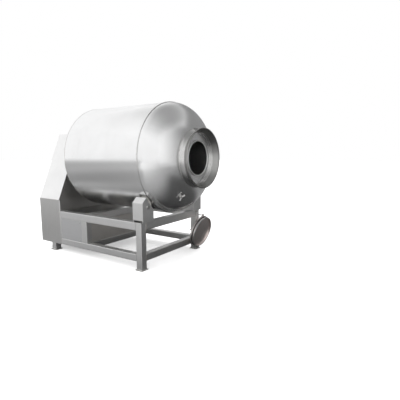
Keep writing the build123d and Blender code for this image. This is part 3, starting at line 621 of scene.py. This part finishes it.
def makeDrumWelds(s):
    footX = drumHigh.x + s["headDepth"] * math.sqrt(1 - (neckFootRadius / drumRadius) ** 2)
    rings = {  # place along the axis and radius
        "rearHeadWeld": (drumLow.x, drumRadius - s["sink"]),
        "frontHeadWeld": (drumHigh.x - s["bandBack"], drumRadius + s["bandRise"]),
        "neckFootWeld": (footX, neckFootRadius - s["sink"] / 2),
        "collarWeld": (collarLow.x, s["neckRadius"] - s["sink"]),
        "seatWeld": (seatHigh.x - s["seatBack"], (seatHigh.z - seatLow.z) / 2 - s["sink"]),
        "hubWeld": (hubHigh.x - s["hubBack"], (hubHigh.z - hubLow.z) / 2),
    }
    for name, (x, radius) in rings.items():
        path = ringPath(x, radius, s["pitch"])
        rough = name in s["roughRings"]  # the rings at the front are ground smooth
        ripple = s["ripple"] if rough else s["groundRipple"]
        points, faces = sweptBead(path, s["radius"], s["sides"], ripple, True)
        makePiece(name, points, faces, "weldBead" if rough else "turnedSteel", "drum")
    turn = math.radians(s["seamTurn"])  # long seam of the rolled shell, at the back
    seam = Vector((0, math.cos(turn), math.sin(turn))) * (drumRadius - s["sink"]) + Vector((0, 0, axisZ))
    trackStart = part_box("roller_tyre_left")[0].x - s["trackGap"]  # ground flush where the rollers run
    path = straightPath(seam + Vector((drumLow.x, 0, 0)), seam + Vector((trackStart, 0, 0)), s["pitch"])
    points, faces = sweptBead(path, s["radius"], s["sides"], s["ripple"], False)
    makePiece("shellSeamWeld", points, faces, "weldBead", "drum")


makeDrumWelds(drumWelds)

# rounded lip round the opening, on which the lid seals; its brightness is partly a painted highlight from the
# lighter grip steel
mouthLip = dict(radius=0.008, sides=12, outside=0.006, back=0.003, pitch=0.008)


def makeMouthLip(s):
    spots = nodes["mouth_seat"].data.vertices
    opening = min(math.hypot(v.co.y, v.co.z - axisZ) for v in spots)
    path = ringPath(seatHigh.x - s["back"], opening + s["outside"] + s["radius"] / 2, s["pitch"])
    points, faces = sweptBead(path, s["radius"], s["sides"], 0.0, True)
    makePiece("mouthLip", points, faces, "gripSteel", "drum")


makeMouthLip(mouthLip)

# turned bead on the front edge of the lid, made bright partly by a painted highlight from the lighter grip
# steel
lidRim = dict(radius=0.0055, sides=12, back=0.005, inset=0.001, frontBand=0.012, pitch=0.008)


def makeLidRim(s):
    out = Vector((math.cos(lidTilt), 0, -math.sin(lidTilt)))
    side = Vector((0, 1, 0))
    up = out.cross(side)
    ring = [v.co for v in nodes["lid_gasket"].data.vertices]
    middle = Vector([(min(p[i] for p in ring) + max(p[i] for p in ring)) / 2 for i in range(3)])
    spots = [v.co - middle for v in nodes["lid_disc"].data.vertices]
    front = max(p.dot(out) for p in spots)
    reach = max((p - out * p.dot(out)).length for p in spots if front - p.dot(out) < s["frontBand"])
    centre = middle + out * (front - s["back"])
    count = int(2 * math.pi * reach / s["pitch"])
    turns = [2 * math.pi * i / count for i in range(count)]
    path = [centre + (side * math.cos(t) + up * math.sin(t)) * (reach - s["inset"]) for t in turns]
    points, faces = sweptBead(path, s["radius"], s["sides"], 0.0, True)
    makePiece("lidRim", points, faces, "gripSteel", "lid")


makeLidRim(lidRim)
print("welds and rims ready")


# button-head screws with a hexagon socket, in place of the plain CAD screws
buttonScrew = dict(radius=0.0062, height=0.0034, socket=0.0028, depth=0.0018, steps=18, inset=0.028,
                   rings=((1.0, 0.0), (1.0, 0.25), (0.86, 0.72), (0.62, 1.0)))  # shares of radius and height


def screwShape(s, spot, out):
    out = Vector(out).normalized()
    side = out.orthogonal().normalized()
    up = out.cross(side)
    points = []
    for scale, rise in s["rings"]:
        for step in range(s["steps"]):
            turn = 2 * math.pi * step / s["steps"]
            reach = (side * math.cos(turn) + up * math.sin(turn)) * s["radius"] * scale
            points.append(spot + reach + out * s["height"] * rise)
    for deep in (0.0, s["depth"]):
        for step in range(s["steps"]):
            turn = 2 * math.pi * step / s["steps"]
            flat = math.cos(math.pi / 6) / math.cos((turn % (math.pi / 3)) - math.pi / 6)
            reach = (side * math.cos(turn) + up * math.sin(turn)) * s["socket"] * flat
            points.append(spot + reach + out * (s["height"] - deep))
    faces = loftFaces(len(s["rings"]) + 1, s["steps"])
    last = (len(s["rings"]) + 1) * s["steps"]
    faces.append(tuple(range(last, last + s["steps"])))
    return points, faces


def makePanelScrews(s):
    shapes = []
    for side in ("left", "right"):
        low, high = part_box("side_panel_" + side)
        out = -1 if side == "left" else 1
        y = low.y if out < 0 else high.y
        for x in (low.x + s["inset"], high.x - s["inset"]):
            for z in (low.z + s["inset"], high.z - s["inset"]):
                shapes.append(screwShape(s, Vector((x, y, z)), (0, out, 0)))
    points, faces = joinShapes(shapes)
    screws = makePiece("panelScrews", points, faces, "turnedSteel", "frame", smooth=False)
    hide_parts("panel_screws")


makePanelScrews(buttonScrew)

# louvre hoods over the slots of the rear panel
louvreHood = dict(length=0.132, rise=0.016, depth=0.010, endShare=0.06, steps=7, columns=(-0.13, 0.13),
                  rows=8, pitch=0.024, middle=0.47)


def makeLouvres(s):
    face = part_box("rear_panel")[0].x
    shapes = []
    for y in s["columns"]:
        for row in range(s["rows"]):
            z = s["middle"] + (row - (s["rows"] - 1) / 2) * s["pitch"]
            points, faces = [], []
            for share in (0.0, s["endShare"], 1 - s["endShare"], 1.0):
                depth = s["depth"] if 0.0 < share < 1.0 else 0.0
                for step in range(s["steps"]):
                    turn = math.pi / 2 * step / (s["steps"] - 1)
                    x, up = face - depth * math.sin(turn), s["rise"] * (math.cos(turn) - 0.5)
                    points.append(Vector((x, y + (share - 0.5) * s["length"], z + up)))
            for column in range(3):
                for step in range(s["steps"] - 1):
                    a, b = column * s["steps"] + step, (column + 1) * s["steps"] + step
                    faces.append((a, a + 1, b + 1, b))
            shapes.append((points, faces))
    points, faces = joinShapes(shapes)
    makePiece("louvreHoods", points, faces, "sheetUpright", "frame")


makeLouvres(louvreHood)

# folded corner of the housing side, the pale upright strip in the photo
cornerFold = dict(width=0.030, overlap=0.016, bulge=0.004, drop=0.005, steps=9, trim=0.004)


def makeCornerFolds(s):
    shapes = []
    for side in ("left", "right"):
        low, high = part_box("housing_side_" + side)
        out = -1 if side == "left" else 1
        face = low.y if out < 0 else high.y
        points, faces = [], []
        for z in (low.z + s["trim"], high.z - s["trim"]):
            for step in range(s["steps"]):
                share = step / (s["steps"] - 1)
                x = high.x - s["overlap"] + share * s["width"]
                drop = s["drop"] if share > s["overlap"] / s["width"] else 0.0
                lift = s["bulge"] * math.sin(math.pi * share) ** 0.5 - drop * max(0.0, share * 2 - 1) ** 2
                points.append(Vector((x, face + out * lift, z)))
        for step in range(s["steps"] - 1):
            above = s["steps"] + step
            faces.append((step, step + 1, above + 1, above))
        shapes.append((points, faces))
    points, faces = joinShapes(shapes)
    makePiece("cornerFolds", points, faces, "sheetUpright", "frame")


makeCornerFolds(cornerFold)

# peg on the far front leg, beside the lid
legPeg = dict(x=0.732, z=0.262, steps=14, outline=(  # radius and reach
    (0.011, 0.0), (0.011, 0.004), (0.0055, 0.006), (0.0055, 0.021), (0.0088, 0.023), (0.0088, 0.028),
    (0.00605, 0.030)))


def makeLegPeg(s):
    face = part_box("leg_front_right")[0].y
    points = []
    for radius, reach in s["outline"]:
        for step in range(s["steps"]):
            turn = 2 * math.pi * step / s["steps"]
            x, z = s["x"] + radius * math.cos(turn), s["z"] + radius * math.sin(turn)
            points.append(Vector((x, face - reach, z)))
    faces = loftFaces(len(s["outline"]) - 1, s["steps"])
    faces.append(tuple(range(len(points) - s["steps"], len(points))))
    makePiece("legPeg", points, faces, "turnedSteel", "frame")


makeLegPeg(legPeg)

# round grips on the two arms of the valve lever, in the lighter grip steel: a painted highlight
leverGrip = dict(radius=0.0056, knob=0.0070, knobStart=0.7, tipLeast=0.02, start=0.006, rise=0.4,
                 armTurns=(-25, 200), steps=14, rings=12)


def gripShape(s, base, along, up, length):
    side = along.cross(up)
    points = []
    for ring in range(s["rings"] + 1):
        share = ring / s["rings"]
        swell = max(0.0, (share - s["knobStart"]) / (1 - s["knobStart"]))
        radius = s["radius"] + (s["knob"] - s["radius"]) * math.sin(math.pi / 2 * min(1.0, swell * 2))
        radius *= math.sqrt(max(s["tipLeast"], 1 - max(0.0, swell * 2 - 1) ** 2))
        for step in range(s["steps"]):
            turn = 2 * math.pi * step / s["steps"]
            reach = side * math.cos(turn) + up * math.sin(turn)
            points.append(base + along * length * share + reach * radius)
    faces = loftFaces(s["rings"], s["steps"])
    faces.append(tuple(range(s["steps"] - 1, -1, -1)))
    faces.append(tuple(range(s["rings"] * s["steps"], (s["rings"] + 1) * s["steps"])))
    return points, faces


def makeLeverGrips(s):
    joint = next(j for j in frame["joints"] if j["name"] == "valve_turn")
    pivot, up = Vector(joint["pos_m"]), Vector(joint["axis"]).normalized()
    inward = (Vector((1, 0, 0)) - up * up.x).normalized()
    across = up.cross(inward)
    corners = [v.co - pivot for v in nodes["valve_lever"].data.vertices]
    top = max(c.dot(up) for c in corners)
    length = max((c - up * c.dot(up)).length for c in corners) - s["start"] - s["knob"]
    shapes = []
    for degrees in s["armTurns"]:
        turn = math.radians(degrees)
        along = inward * math.cos(turn) + across * math.sin(turn)
        base = pivot + up * (top + s["radius"] * s["rise"]) + along * s["start"]
        shapes.append(gripShape(s, base, along, up, length))
    points, faces = joinShapes(shapes)
    makePiece("leverGrips", points, faces, "gripSteel", "valve_lever")


makeLeverGrips(leverGrip)
print("small pieces ready")
